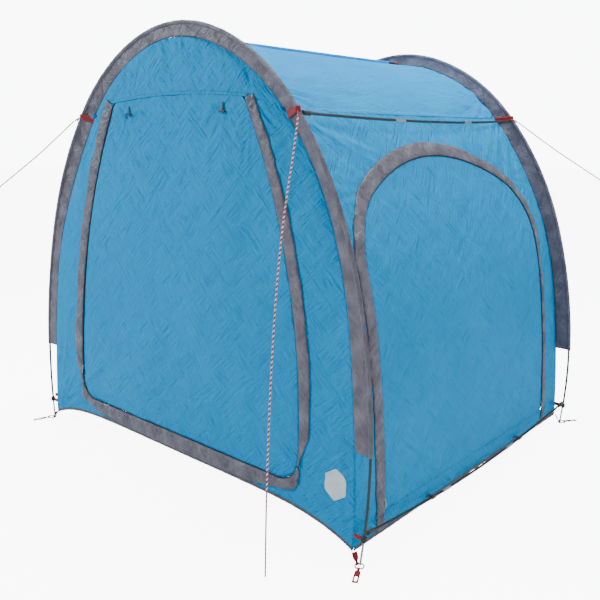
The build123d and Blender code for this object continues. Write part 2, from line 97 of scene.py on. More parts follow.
# crumple: short shallow creases in two slanting directions, in metres of cloth
def crumpleGroup():
    group, given, out = newGroup(
        "crumple",
        [("Vector", "NodeSocketVector", None), ("Size", "NodeSocketFloat", 0.02), ("Slant", "NodeSocketFloat", 0.6)],
        [("Height", "NodeSocketFloat"), ("Mask", "NodeSocketFloat")],
    )
    scale = calc(group, "DIVIDE", 1.0, given.outputs["Size"])
    sized = put(group, "ShaderNodeVectorMath", {0: given.outputs["Vector"]}, operation="SCALE")
    group.links.new(scale, sized.inputs["Scale"])
    sets = []
    for side in (1, -1):
        turn = put(group, "ShaderNodeVectorRotate", {"Vector": sized.outputs[0]}, rotation_type="Z_AXIS")
        group.links.new(calc(group, "MULTIPLY", given.outputs["Slant"], side), turn.inputs["Angle"])
        stretch = put(group, "ShaderNodeVectorMath", {0: turn.outputs[0], 1: (0.13, 1, 1)}, operation="MULTIPLY")
        noise = put(group, "ShaderNodeTexNoise",
                    {"Vector": stretch.outputs[0], "Scale": 1.0, "Detail": 3.0, "Distortion": 0.4})
        ridge = calc(group, "ABSOLUTE", calc(group, "SUBTRACT", noise.outputs[0], 0.5))
        sets.append(calc(group, "SUBTRACT", 0.5, ridge))
    patchy = put(group, "ShaderNodeTexNoise", {"Vector": sized.outputs[0], "Scale": 0.17, "Detail": 1.0})
    mask = put(group, "ShaderNodeMapRange", {0: patchy.outputs[0], 1: 0.35, 2: 0.65})
    both = put(group, "ShaderNodeMix", {"Factor": mask.outputs[0], "A": sets[0], "B": sets[1]})
    group.links.new(both.outputs[0], out.inputs["Height"])
    group.links.new(mask.outputs[0], out.inputs["Mask"])
    return group


# weave: crossed threads at a spacing in metres
def weaveGroup():
    group, given, out = newGroup(
        "weave",
        [("Vector", "NodeSocketVector", None), ("Spacing", "NodeSocketFloat", 0.0006),
         ("Warp", "NodeSocketFloat", 1.0)],
        [("Height", "NodeSocketFloat")],
    )
    apart = put(group, "ShaderNodeSeparateXYZ", {"Vector": given.outputs["Vector"]})
    turns = calc(group, "DIVIDE", math.tau, given.outputs["Spacing"])
    warpTurns = calc(group, "MULTIPLY", apart.outputs[0], turns)
    warp = calc(group, "SINE", calc(group, "MULTIPLY", warpTurns, given.outputs["Warp"]))
    weft = calc(group, "SINE", calc(group, "MULTIPLY", apart.outputs[1], turns))
    group.links.new(calc(group, "MULTIPLY", warp, weft), out.inputs["Height"])
    return group


# wear: broad uneven tone with a little dust
def wearGroup():
    group, given, out = newGroup(
        "wear",
        [("Vector", "NodeSocketVector", None), ("Scale", "NodeSocketFloat", 3.0), ("Amount", "NodeSocketFloat", 0.3),
         ("Colour", "NodeSocketColor", (1, 1, 1, 1)), ("Worn", "NodeSocketColor", (1, 1, 1, 1))],
        [("Colour", "NodeSocketColor"), ("Mask", "NodeSocketFloat")],
    )
    noise = put(group, "ShaderNodeTexNoise",
                {"Vector": given.outputs["Vector"], "Scale": given.outputs["Scale"], "Detail": 5.0})
    mask = put(group, "ShaderNodeMapRange", {0: noise.outputs[0], 1: 0.38, 2: 0.72})
    share = calc(group, "MULTIPLY", mask.outputs[0], given.outputs["Amount"])
    mixed = put(group, "ShaderNodeMix", data_type="RGBA")
    group.links.new(share, mixed.inputs["Factor"])
    group.links.new(given.outputs["Colour"], mixed.inputs[6])
    group.links.new(given.outputs["Worn"], mixed.inputs[7])
    group.links.new(mixed.outputs[2], out.inputs["Colour"])
    group.links.new(share, out.inputs["Mask"])
    return group


crumple, weave, wear = crumpleGroup(), weaveGroup(), wearGroup()


def startMaterial(name, roughness, **sockets):
    material = bpy.data.materials.new(name)
    material.use_nodes = True
    tree = material.node_tree
    shader = tree.nodes["Principled BSDF"]
    shader.inputs["Roughness"].default_value = roughness
    for key, value in sockets.items():
        shader.inputs[key.replace("_", " ")].default_value = value
    return material, tree, shader


def coloured(tree, vector, shader, colour, worn, scale, amount):
    node = put(tree, "ShaderNodeGroup", node_tree=wear)
    tree.links.new(vector, node.inputs["Vector"])
    node.inputs["Scale"].default_value = scale
    node.inputs["Amount"].default_value = amount
    node.inputs["Colour"].default_value = (*colour, 1)
    node.inputs["Worn"].default_value = (*worn, 1)
    tree.links.new(node.outputs["Colour"], shader.inputs["Base Color"])
    return node


def bumped(tree, shader, height, strength, distance, under=None):
    bump = put(tree, "ShaderNodeBump", {"Height": height, "Strength": strength, "Distance": distance})
    if under:
        tree.links.new(under.outputs[0], bump.inputs["Normal"])
    tree.links.new(bump.outputs[0], shader.inputs["Normal"])
    return bump


def clothMaterial(name, look):
    material, tree, shader = startMaterial(
        name, look["roughness"], Sheen_Weight=look["sheen"], Sheen_Roughness=0.35, Specular_IOR_Level=look["gloss"])
    vector = tree.nodes.new("ShaderNodeTexCoord").outputs["UV"]
    coloured(tree, vector, shader, look["colour"], look["worn"], look["toneScale"], look["tone"])
    creases = put(tree, "ShaderNodeGroup", node_tree=crumple)
    tree.links.new(vector, creases.inputs["Vector"])
    creases.inputs["Size"].default_value = look["creaseSize"]
    creases.inputs["Slant"].default_value = look["slant"]
    under = bumped(tree, shader, creases.outputs["Height"], look["creaseStrength"], look["creaseDepth"])
    threads = put(tree, "ShaderNodeGroup", node_tree=weave)
    tree.links.new(vector, threads.inputs["Vector"])
    threads.inputs["Spacing"].default_value = look["thread"]
    bumped(tree, shader, threads.outputs["Height"], 0.25, look["thread"] * 0.3, under)
    rough = put(tree, "ShaderNodeMapRange", {0: creases.outputs["Height"], 1: 0.3, 2: 0.5,
                                             3: look["roughness"] + 0.1, 4: look["roughness"] - 0.06})
    tree.links.new(rough.outputs[0], shader.inputs["Roughness"])
    return material


def hardMaterial(name, look):
    material, tree, shader = startMaterial(
        name, look["roughness"], Metallic=look.get("metal", 0.0), Coat_Weight=look.get("coat", 0.0), Coat_Roughness=0.2)
    vector = tree.nodes.new("ShaderNodeTexCoord").outputs["Object"]
    worn = coloured(tree, vector, shader, look["colour"], look["worn"], look["scale"], look["amount"])
    stretch = put(tree, "ShaderNodeVectorMath", {0: vector, 1: look["grain"]}, operation="MULTIPLY")
    grain = put(tree, "ShaderNodeTexNoise", {"Vector": stretch.outputs[0], "Scale": 1.0, "Detail": 4.0})
    rough = put(tree, "ShaderNodeMapRange", {0: grain.outputs[0], 1: 0.3, 2: 0.7,
                                             3: look["roughness"] - 0.07, 4: look["roughness"] + 0.12})
    tree.links.new(calc(tree, "ADD", rough.outputs[0], calc(tree, "MULTIPLY", worn.outputs["Mask"], 0.2)),
                   shader.inputs["Roughness"])
    bumped(tree, shader, grain.outputs[0], look["bump"], 0.0004)
    return material


def webbingMaterial(name, look):
    material, tree, shader = startMaterial(name, look["roughness"], Sheen_Weight=0.15, Specular_IOR_Level=0.35)
    vector = tree.nodes.new("ShaderNodeTexCoord").outputs["Object"]
    coloured(tree, vector, shader, look["colour"], look["worn"], 60.0, 0.5)
    spread = put(tree, "ShaderNodeVectorRotate", {"Vector": vector, "Angle": 0.7}, rotation_type="Y_AXIS")
    threads = put(tree, "ShaderNodeGroup", node_tree=weave)
    tree.links.new(spread.outputs[0], threads.inputs["Vector"])
    threads.inputs["Spacing"].default_value = look["rib"]
    bumped(tree, shader, threads.outputs["Height"], 0.6, look["rib"] * 0.3)
    return material


taffeta = {"sheen": 0.0, "creaseStrength": 1.0, "thread": 0.0006}
clothLooks = {
    "wallTaffeta": {**taffeta, "colour": (0.0, 0.30, 0.66), "worn": (0.0, 0.35, 0.73), "toneScale": 2.2, "tone": 0.7,
                    "roughness": 0.5, "gloss": 0.07, "creaseSize": 0.015, "slant": 0.75, "creaseDepth": 0.024},
    # both roof tones are a lighter copy of the wall blue: painted light falling on the roof from above
    "litRoofTaffeta": {**taffeta, "colour": (0.0, 0.31, 0.72), "worn": (0.002, 0.38, 0.80), "toneScale": 2.0, "tone": 0.7,
                    "roughness": 0.5, "gloss": 0.10, "creaseSize": 0.017, "slant": 0.25, "creaseDepth": 0.012},
    "greyTrim": {**taffeta, "colour": (0.13, 0.11, 0.145), "worn": (0.26, 0.228, 0.28), "toneScale": 14.0, "tone": 0.8,
                 "roughness": 0.36, "sheen": 0.03, "gloss": 0.45, "creaseSize": 0.010, "slant": 0.9,
                 "creaseDepth": 0.014},
    "hemBinding": {"colour": (0.10, 0.09, 0.10), "worn": (0.19, 0.17, 0.185), "toneScale": 20.0, "tone": 0.7,
                   "roughness": 0.6, "sheen": 0.1, "gloss": 0.3, "creaseSize": 0.006, "slant": 0.5,
                   "creaseStrength": 0.4, "creaseDepth": 0.002, "thread": 0.0008},
    "thread": {"colour": (0.20, 0.30, 0.36), "worn": (0.30, 0.38, 0.42), "toneScale": 90.0, "tone": 0.6,
               "roughness": 0.7, "sheen": 0.2, "gloss": 0.2, "creaseSize": 0.002, "slant": 0.5,
               "creaseStrength": 0.2, "creaseDepth": 0.0005, "thread": 0.0003},
}
hardLooks = {
    "pole": {"colour": (0.012, 0.012, 0.013), "worn": (0.045, 0.044, 0.043), "scale": 22.0, "amount": 0.5,
             "roughness": 0.36, "coat": 0.25, "grain": (900, 900, 40), "bump": 0.25},
    "ferrule": {"colour": (0.62, 0.63, 0.65), "worn": (0.42, 0.42, 0.43), "scale": 60.0, "amount": 0.5,
                "roughness": 0.3, "metal": 1.0, "grain": (1400, 1400, 300), "bump": 0.2},
    "steel": {"colour": (0.50, 0.50, 0.50), "worn": (0.30, 0.28, 0.26), "scale": 80.0, "amount": 0.6,
              "roughness": 0.34, "metal": 1.0, "grain": (700, 700, 700), "bump": 0.25},
    "blackPlastic": {"colour": (0.014, 0.014, 0.015), "worn": (0.06, 0.06, 0.062), "scale": 70.0, "amount": 0.4,
                     "roughness": 0.42, "coat": 0.1, "grain": (1800, 1800, 1800), "bump": 0.3},
    "zipCoil": {"colour": (0.018, 0.02, 0.024), "worn": (0.07, 0.075, 0.08), "scale": 120.0, "amount": 0.6,
                "roughness": 0.5, "grain": (900, 900, 900), "bump": 0.7},
    "patch": {"colour": (0.74, 0.78, 0.80), "worn": (0.55, 0.64, 0.70), "scale": 45.0, "amount": 0.4,
              "roughness": 0.5, "grain": (1500, 1500, 1500), "bump": 0.4},
}
webbingLooks = {
    "redWebbing": {"colour": (0.30, 0.002, 0.010), "worn": (0.42, 0.012, 0.03), "roughness": 0.6, "rib": 0.0022},
    "greyWebbing": {"colour": (0.03, 0.028, 0.034), "worn": (0.09, 0.085, 0.09), "roughness": 0.6, "rib": 0.0022},
}
cloth = {name: clothMaterial(name, look) for name, look in clothLooks.items()}
hard = {name: hardMaterial(name, look) for name, look in hardLooks.items()}
tape = {name: webbingMaterial(name, look) for name, look in webbingLooks.items()}
print("materials made")


# mesh helpers

def link(name, mesh, material, body=frameBody, smooth=True):
    thing = bpy.data.objects.new(name, mesh)
    bpy.context.scene.collection.objects.link(thing)
    mesh.materials.append(material)
    if smooth:
        mesh.polygons.foreach_set("use_smooth", [True] * len(mesh.polygons))
    if body:
        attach(thing, body)
    return thing


def meshFrom(name, points, faces, uv):
    mesh = bpy.data.meshes.new(name)
    mesh.from_pydata(np.asarray(points, float).tolist(), [], [tuple(int(i) for i in f) for f in faces])
    layer = mesh.uv_layers.new(name="UVMap")
    corners = np.zeros(len(mesh.loops), np.int32)
    mesh.loops.foreach_get("vertex_index", corners)
    layer.data.foreach_set("uv", np.asarray(uv, np.float32)[corners].ravel())
    mesh.validate()
    return mesh


def cloud(u, v, seed):
    table = np.random.default_rng(seed).uniform(-1, 1, (64, 64))
    i, j = np.floor(u).astype(int), np.floor(v).astype(int)
    a, b = u - i, v - j
    a, b = a * a * (3 - 2 * a), b * b * (3 - 2 * b)
    pick = lambda di, dj: table[(i + di) % 64, (j + dj) % 64]
    return (pick(0, 0) * (1 - a) + pick(1, 0) * a) * (1 - b) + (pick(0, 1) * (1 - a) + pick(1, 1) * a) * b


def slant(u, v, angle, long, short, seed):
    a, b = u * math.cos(angle) + v * math.sin(angle), v * math.cos(angle) - u * math.sin(angle)
    return cloud(a / long + 7, b / short + 7, seed)


def fan(u, v, at, reach, rays, height, seed):
    du, dv = u - at[0], v - at[1]
    r = np.hypot(du, dv)
    ridge = 1 - 2 * np.abs(cloud(np.arctan2(dv, du) * rays / math.tau + 30, r / reach * 1.3 + 5, seed))
    return height * ridge * np.clip(r / 0.03, 0, 1) * np.exp(-((r / reach) ** 2))


def gridFaces(rows, columns):
    i = np.arange(rows - 1)[:, None] * columns + np.arange(columns - 1)[None, :]
    i = i.ravel()
    return np.stack([i, i + 1, i + columns + 1, i + columns], 1)


def insideOf(points, outline):
    x, y = points[:, 0], points[:, 1]
    hit = np.zeros(len(points), bool)
    for (x1, y1), (x2, y2) in zip(outline, np.roll(outline, -1, 0)):
        crosses = (y1 > y) != (y2 > y)
        with np.errstate(divide="ignore", invalid="ignore"):
            hit ^= crosses & (x < (x2 - x1) * (y - y1) / (y2 - y1) + x1)
    return hit


def nearestOn(points, outline):
    a, b = outline, np.roll(outline, -1, 0)
    d = b - a
    best, spot = np.full(len(points), np.inf), np.zeros_like(points)
    for p, q in zip(a, d):
        t = np.clip(((points - p) @ q) / max(q @ q, 1e-12), 0, 1)
        c = p + t[:, None] * q
        gap = np.linalg.norm(points - c, axis=1)
        closer = gap < best
        best[closer], spot[closer] = gap[closer], c[closer]
    return spot


# a panel of cloth: a grid in its own flat coordinates, cut along an outline, then placed and creased
def panel(name, flat, shape, place, crease, material, outline=None, keepInside=False, body=frameBody, thick=0.0008):
    rows, columns = shape
    faces = gridFaces(rows, columns)
    if outline is not None:
        inside = insideOf(flat[faces].mean(1), outline)
        kept = inside if keepInside else ~inside
        edge = np.intersect1d(np.unique(faces[kept]), np.unique(faces[~kept]))
        flat = flat.copy()
        flat[edge] = nearestOn(flat[edge], outline)
        faces = faces[kept]
    used, faces = np.unique(faces, return_inverse=True)
    faces, flat = faces.reshape(-1, 4), flat[used]
    step = 0.002
    u, v = flat[:, 0], flat[:, 1]
    base = place(u, v)
    normal = np.cross(place(u + step, v) - place(u - step, v), place(u, v + step) - place(u, v - step))
    normal /= np.maximum(np.linalg.norm(normal, axis=1), 1e-12)[:, None]
    mesh = meshFrom(name, base + normal * crease(u, v)[:, None], faces, flat)
    bm = bmesh.new()
    bm.from_mesh(mesh)
    bmesh.ops.remove_doubles(bm, verts=bm.verts, dist=0.0004)
    bm.to_mesh(mesh)
    bm.free()
    piece = link(name, mesh, material, body)
    if thick:
        layer = piece.modifiers.new("thickness", "SOLIDIFY")
        layer.thickness = thick
        layer.offset = -1
    cut = sum(p.area for p in mesh.polygons)
    return piece, cut


# arch outlines, in the plane of each arch

arch = {"spacing": 1.617, "lean": 0.04, "poleTop": 1.78, "clothTop": 1.73,
        "poleArcs": ((0.690, 18.2), (0.865, 31.1), (1.395, 23.6), (2.275, 25.2)),
        "clothArcs": ((0.636, 20.0), (0.800, 31.1), (1.467, 30.9), (4.917, 8.05)), "pull": 0.024}


def archLine(top, arcs, count=900):
    points, x, z, turned = [(0.0, top)], 0.0, top, 0.0
    total = sum(r * math.radians(a) for r, a in arcs)
    for radius, angle in arcs:
        steps = max(8, int(count * radius * math.radians(angle) / total))
        for k in range(1, steps + 1):
            a = turned + math.radians(angle) * k / steps
            points.append((x + radius * (math.sin(a) - math.sin(turned)),
                           z - radius * (math.cos(turned) - math.cos(a))))
        x, z = points[-1]
        turned += math.radians(angle)
    return np.array(points)


poleLine = archLine(arch["poleTop"], arch["poleArcs"])
clothLine = archLine(arch["clothTop"], arch["clothArcs"])
clothFoot = clothLine[-1]


def clothX(z):
    return np.interp(-np.asarray(z, float), -clothLine[:, 1], clothLine[:, 0])


def archY(z):
    return arch["spacing"] / 2 - arch["lean"] * np.asarray(z, float)


# tension draws the arch seams in towards the middle of the tent
def seamY(z):
    return archY(z) - arch["pull"] * np.exp(-(((np.asarray(z, float) - 1.3) / 0.36) ** 2))


def along(line):
    return np.concatenate([[0], np.cumsum(np.linalg.norm(np.diff(line, axis=0), axis=1))])


def evenly(line, count):
    s = along(line)
    at = np.linspace(0, s[-1], count)
    return np.stack([np.interp(at, s, line[:, k]) for k in range(line.shape[1])], 1)


# guy lines: a twisted cord on the routes of the part, in metres

guyLine = {"radius": 0.0029, "pitch": 0.016, "rings": 0.0016, "sides": 12, "bulge": 0.00025}
guyStart = (0.65307, 0.77556, 1.43871)
guyRoutes = {
    "guy_line_front_right": [
        (guyStart[0], -guyStart[1], guyStart[2]), (0.667, -0.81, 1.33), (0.689, -0.869, 1.195), (0.708, -0.917, 1.055),
        (0.725, -0.956, 0.91), (0.74, -0.988, 0.762), (0.752, -1.014, 0.612), (0.761, -1.034, 0.46),
        (0.767, -1.049, 0.306), (0.77, -1.059, 0.152), (0.771, -1.064, 0.004)],
    "guy_line_front_left": [
        (-guyStart[0], -guyStart[1], guyStart[2]), (-0.741, -0.865, 1.324), (-0.833, -0.961, 1.219),
        (-0.926, -1.058, 1.116)],
    "guy_line_rear_right": [guyStart, (0.77, 0.872, 1.331), (0.888, 0.978, 1.232), (1.007, 1.085, 1.134)],
}
guyEnds = {"guy_line_front_left": "guy_end_loop_front_left", "guy_line_rear_right": "guy_end_loop_rear_right"}


def splineLine(route):
    data = bpy.data.curves.new("route", "CURVE")
    data.dimensions = "3D"
    data.resolution_u = 24
    spline = data.splines.new("NURBS")
    spline.points.add(len(route) - 1)
    for point, place in zip(spline.points, route):
        point.co = (*place, 1)
    spline.order_u = 3
    spline.use_endpoint_u = True
    holder = bpy.data.objects.new("route", data)
    mesh = bpy.data.meshes.new_from_object(holder)
    line = np.array([v.co for v in mesh.vertices], float).reshape(-1, 3)
    bpy.data.objects.remove(holder)
    bpy.data.curves.remove(data)
    bpy.data.meshes.remove(mesh)
    return line


def tube(line, radius, sides, ring=None):
    tangent = np.gradient(line, axis=0)
    tangent /= np.linalg.norm(tangent, axis=1)[:, None]
    side = np.cross(tangent, (0.3, 0.9, 0.3))
    side /= np.linalg.norm(side, axis=1)[:, None]
    up = np.cross(tangent, side)
    s, a = along(line), np.arange(sides) * math.tau / sides
    r = np.full((len(line), sides), radius) if ring is None else ring(s[:, None], a[None, :])
    around = np.cos(a)[None, :, None] * side[:, None] + np.sin(a)[None, :, None] * up[:, None]
    points = line[:, None] + r[..., None] * around
    n = len(line)
    faces = [(i * sides + j, i * sides + (j + 1) % sides, (i + 1) * sides + (j + 1) % sides, (i + 1) * sides + j)
             for i in range(n - 1) for j in range(sides)]
    faces += [tuple(range(sides - 1, -1, -1)), tuple((n - 1) * sides + k for k in range(sides))]
    return points.reshape(-1, 3), faces, s, a


def cordMaterial():
    material, tree, shader = startMaterial("guyCord", 0.62, Sheen_Weight=0.2, Specular_IOR_Level=0.3)
    stripe = put(tree, "ShaderNodeAttribute", attribute_name="strand")
    fine = put(tree, "ShaderNodeTexNoise", {"Scale": 900.0, "Detail": 2.0})
    tree.links.new(tree.nodes.new("ShaderNodeTexCoord").outputs["Object"], fine.inputs["Vector"])
    level = put(tree, "ShaderNodeMapRange", {0: stripe.outputs["Fac"], 1: 0.0, 2: 0.12})
    pair = put(tree, "ShaderNodeMix", {6: (0.36, 0.002, 0.03, 1), 7: (0.88, 0.82, 0.84, 1)}, data_type="RGBA")
    tree.links.new(level.outputs[0], pair.inputs["Factor"])
    worn = put(tree, "ShaderNodeGroup", {"Scale": 140.0, "Amount": 0.12, "Worn": (0.45, 0.38, 0.38, 1)}, node_tree=wear)
    tree.links.new(pair.outputs[2], worn.inputs["Colour"])
    tree.links.new(worn.outputs["Colour"], shader.inputs["Base Color"])
    bumped(tree, shader, fine.outputs[0], 0.5, 0.0004)
    return material


cordLook = cordMaterial()
for name, route in guyRoutes.items():
    line = splineLine(route)
    fine = evenly(line, int(along(line)[-1] / guyLine["rings"]))
    phase = lambda s, a: a - math.tau * s / guyLine["pitch"]
    ring = lambda s, a: guyLine["radius"] - guyLine["bulge"] * (1 - np.abs(np.cos(phase(s, a))))
    points, faces, s, a = tube(fine, guyLine["radius"], guyLine["sides"], ring)
    mesh = bpy.data.meshes.new(name)
    mesh.from_pydata(points.tolist(), [], faces)
    strand = mesh.attributes.new("strand", "FLOAT", "POINT")
    strand.data.foreach_set("value", np.sin(phase(s[:, None], a[None, :])).astype(np.float32).ravel())
    cord = link(name + "_cord", mesh, cordLook)
    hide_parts(name)
    end = guyEnds.get(name)
    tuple(route[0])
print("guy lines laid")


# front and rear walls

door = {"top": 1.497, "bottom": 0.187, "sideRadius": 2.5027, "sideCentre": (-1.826, 0.333), "corner": 0.095,
        "seamRise": 0.032}
hem = {"rise": 0.075, "flatness": 6, "width": 0.012}


def hemZ(x):
    return clothFoot[1] + hem["rise"] * (1 - (np.asarray(x) / clothFoot[0]) ** hem["flatness"])


def seamZ(x):
    return door["top"] + door["seamRise"] * np.clip(1 - (np.asarray(x) / 0.5) ** 2, 0, 1)


# half of the door's outline, from the top down the +X side to the middle of the bottom
def doorHalf(grow=0.0, count=260):
    cx, cz = door["sideCentre"]
    radius, corner = door["sideRadius"] + grow, door["corner"] + grow
    lowZ = door["bottom"] + door["corner"]
    cornerX = cx + math.sqrt((door["sideRadius"] - door["corner"]) ** 2 - (lowZ - cz) ** 2)
    start = math.asin((door["top"] - cz) / radius)
    end = math.atan2(lowZ - cz, cornerX - cx)
    side = [(cx + radius * math.cos(a), cz + radius * math.sin(a)) for a in np.linspace(start, end, 120)]
    bend = [(cornerX + corner * math.cos(a), lowZ + corner * math.sin(a)) for a in np.linspace(end, -math.pi / 2, 40)]
    return evenly(np.array(side + bend[1:] + [(0.0, door["bottom"] - grow)]), count)


def doorOutline(grow):
    half = doorHalf(grow)
    topX = np.linspace(-half[0, 0], half[0, 0], 40)[1:-1]
    crown = np.stack([topX, seamZ(topX)], 1)
    return np.vstack([half, (half * (-1, 1))[::-1], crown])


def inPlane(sign, lift=0.0):
    def place(x, v):
        z = np.asarray(v, float)
        return np.stack([-sign * np.asarray(x, float), sign * (archY(z) + lift), z + 0 * np.asarray(x)], 1)
    return place


def endWall(sign):
    def place(x, v):
        x, z = np.asarray(x, float), np.asarray(v, float)
        start = 0.78 * clothX(z)
        share = np.clip((np.abs(x) - start) / np.maximum(clothX(z) - start, 0.01), 0, 1)
        y = archY(z) + (seamY(z) - archY(z)) * share * share
        return np.stack([-sign * x, sign * y, z], 1)
    return place


def wallGrid(rows, columns):
    t = 1 - (1 - np.linspace(0, 1, rows)) ** 1.25
    s = np.linspace(-1, 1, columns)
    s, t = np.meshgrid(s, t)
    low = hemZ(s * clothFoot[0]) + hem["width"] * 0.5
    z = low * (1 - t) + arch["clothTop"] * t
    return np.stack([s.ravel() * clothX(z.ravel()), z.ravel()], 1), (rows, columns)


def tension(u, v):
    big = 0.0032 * slant(u, v, 0.9, 0.34, 0.075, 11) + 0.0026 * slant(u, v, 2.2, 0.28, 0.06, 12)
    sharp = 0.0022 * (1 - 2 * np.abs(slant(u, v, 0.55, 0.22, 0.05, 15)))
    fine = 0.0015 * slant(u, v, 0.5, 0.10, 0.024, 13) + 0.0013 * slant(u, v, 2.5, 0.10, 0.024, 14)
    return big + sharp + fine


# how far cloth is from the lines that hold it flat, as a share from 0 to 1
def freedom(u, v, outline, gaps):
    points = np.stack([u, v], 1)
    nearest = np.linalg.norm(points - nearestOn(points, outline), axis=1) / 0.06
    return 0.08 + 0.92 * np.clip(np.minimum.reduce([nearest, *gaps]), 0, 1)


frontZip = doorOutline(0.0)[::3]
# creases that spread from held points: across, up, reach, rays, height, seed
frontFans = ((0.42, 1.50, 0.24, 36, 0.0050, 21), (0.90, 0.07, 0.45, 44, 0.0055, 25), (0.64, 1.42, 0.30, 38, 0.0045, 29),
             (0.278, 1.49, 0.16, 28, 0.0045, 33), (0.69, 0.22, 0.30, 34, 0.0042, 37))
sideFans = ((0.75, 1.45, 0.48, 48, 0.0075, 71), (0.80, 0.06, 0.50, 44, 0.0055, 75), (0.50, 1.20, 0.22, 34, 0.0040, 79),
            (0.36, 0.05, 0.20, 28, 0.0040, 83))


def frontCrease(u, v):
    h = tension(u, v) * (0.7 + 0.5 * cloud(u * 2 + 9, v * 2 + 9, 3))
    for x in (-1, 1):
        for across, up, reach, rays, height, seed in frontFans:
            h += fan(u, v, (x * across, up), reach, rays, height, seed + x)
    top = np.clip((v - 1.40) / 0.3, 0, 1)
    h += 0.0034 * top * (1 - 2 * np.abs(cloud(u * 30 + 9, v * 4 + 9, 41)))
    billow = np.clip((v - 0.1) / 0.3, 0, 1) * np.clip((1.7 - v) / 0.3, 0, 1)
    h -= 0.004 * np.clip(1 - np.abs(u) / 0.8, 0, 1) * billow
    return h * freedom(u, v, frontZip, [(clothX(v) - np.abs(u)) / 0.05, (v - hemZ(u)) / 0.06])


frontPlace, rearPlace = endWall(-1), endWall(1)
flat, shape = wallGrid(200, 220)
zipClear = 0.004
frontWall, cut = panel("front_wall_cloth", flat, shape, frontPlace, frontCrease, cloth["wallTaffeta"],
                       doorOutline(zipClear))
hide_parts("front_wall")

doorCrease = lambda u, v: frontCrease(u, v) + 0.0018 * slant(u, v, 1.45, 0.5, 0.09, 51)
frontDoor, cut = panel("front_door_cloth", flat, shape, frontPlace, doorCrease, cloth["wallTaffeta"],
                       doorOutline(-zipClear), True, None)
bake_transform(frontDoor)
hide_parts("front_door")


def rearCrease(u, v):
    h = 1.2 * tension(u + 3, v)
    for x in (-1, 1):
        h += fan(u, v, (x * 0.90, 0.07), 0.45, 40, 0.005, 61 + x)
        h += fan(u, v, (x * 0.64, 1.42), 0.3, 34, 0.004, 65 + x)
    return h * np.clip(np.minimum((clothX(v) - np.abs(u)) / 0.05, (v - hemZ(u)) / 0.06), 0, 1)


flat, shape = wallGrid(150, 160)
rearWall, cut = panel("rear_wall_cloth", flat, shape, rearPlace, rearCrease, cloth["wallTaffeta"])
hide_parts("rear_wall")
print("end walls hung")


# side walls and roof, bent over the arches

side = {"eaves": 1.46, "low": 0.049, "half": 0.635, "bottom": 0.113, "shoulder": 0.927, "corner": 0.290, "turn": 63.0}
seamOverlap = 0.0006


def sideHalf(grow=0.0, count=260, low=None):
    turn = math.radians(side["turn"])
    corner = side["corner"] + grow
    middle = side["half"] - side["corner"]
    reachX = middle + side["corner"] * math.cos(turn)
    crown = reachX / math.cos(turn)
    crownZ = side["shoulder"] + side["corner"] * math.sin(turn) - crown * math.sin(turn)
    crown += grow
    top = [(crown * math.sin(a), crownZ + crown * math.cos(a)) for a in np.linspace(0, math.pi / 2 - turn, 70)]
    bend = [(middle + corner * math.cos(a), side["shoulder"] + corner * math.sin(a)) for a in np.linspace(turn, 0, 50)]
    foot = side["bottom"] if low is None else low
    return evenly(np.array(top + bend[1:] + [(side["half"] + grow, foot)]), count)


def sideOutline(grow):
    half = sideHalf(grow)
    return np.vstack([half, (half * (-1, 1))[::-1]])


def overArch(sign, lift=0.0):
    def place(y, z):
        y, z = np.asarray(y, float), np.asarray(z, float)
        slope = np.arctan2(clothX(z - 0.004) - clothX(z + 0.004), 0.008)
        return np.stack([sign * (clothX(z) + lift * np.cos(slope)), sign * y, z + lift * np.sin(slope)], 1)
    return place


def sideGrid(rows, columns):
    line = clothLine[(clothLine[:, 1] <= side["eaves"]) & (clothLine[:, 1] >= side["low"])]
    z = evenly(line, rows)[:, 1]
    s, z = np.meshgrid(np.linspace(-1, 1, columns), z)
    return np.stack([(s * (seamY(z) + seamOverlap)).ravel(), z.ravel()], 1), (rows, columns)


def sideCrease(u, v):
    h = 0.9 * tension(u + 5, v + 2)
    for y in (-1, 1):
        for across, up, reach, rays, height, seed in sideFans:
            h += fan(u, v, (y * across, up), reach, rays, height, seed + y)
    below = np.exp(-(((v - 1.41) / 0.045) ** 2)) * np.clip(1 - (u / 0.75) ** 2, 0, 1)
    h -= 0.006 * below + 0.008 * np.clip(1 - (u / 0.78) ** 2, 0, 1) * np.clip(1 - ((v - 0.75) / 0.68) ** 2, 0, 1)
    gaps = [(archY(v) - np.abs(u)) / 0.05, (v - side["low"]) / 0.05, (side["eaves"] - v) / 0.04]
    return h * freedom(u, v, sideZip, gaps)


sideZip = sideOutline(0.0)[::3]
flat, shape = sideGrid(190, 200)
rightPlace, leftPlace = overArch(1), overArch(-1)
rightWall, cut = panel("right_wall_cloth", flat, shape, rightPlace, sideCrease, cloth["wallTaffeta"],
                       sideOutline(zipClear))
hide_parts("right_wall")

sideDoor, cut = panel("side_door_cloth", flat, shape, rightPlace, sideCrease, cloth["wallTaffeta"],
                      sideOutline(-zipClear), True, None)
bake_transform(sideDoor)
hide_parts("side_door")

flat, shape = sideGrid(140, 150)
leftWall, cut = panel("left_wall_cloth", flat, shape, leftPlace, lambda u, v: sideCrease(u + 0.01, v),
                      cloth["wallTaffeta"])
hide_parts("left_wall")

upper = clothLine[clothLine[:, 1] >= side["eaves"] - 0.002]
roofLine = np.vstack([(upper * (-1, 1))[::-1], upper[1:]])
roofLength = along(roofLine)


def roofPlace(y, t):
    x = np.interp(t, roofLength - roofLength[-1] / 2, roofLine[:, 0])
    z = np.interp(t, roofLength - roofLength[-1] / 2, roofLine[:, 1])
    return np.stack([x, -np.asarray(y, float) * (seamY(z) + seamOverlap) / archY(1.6), z], 1)


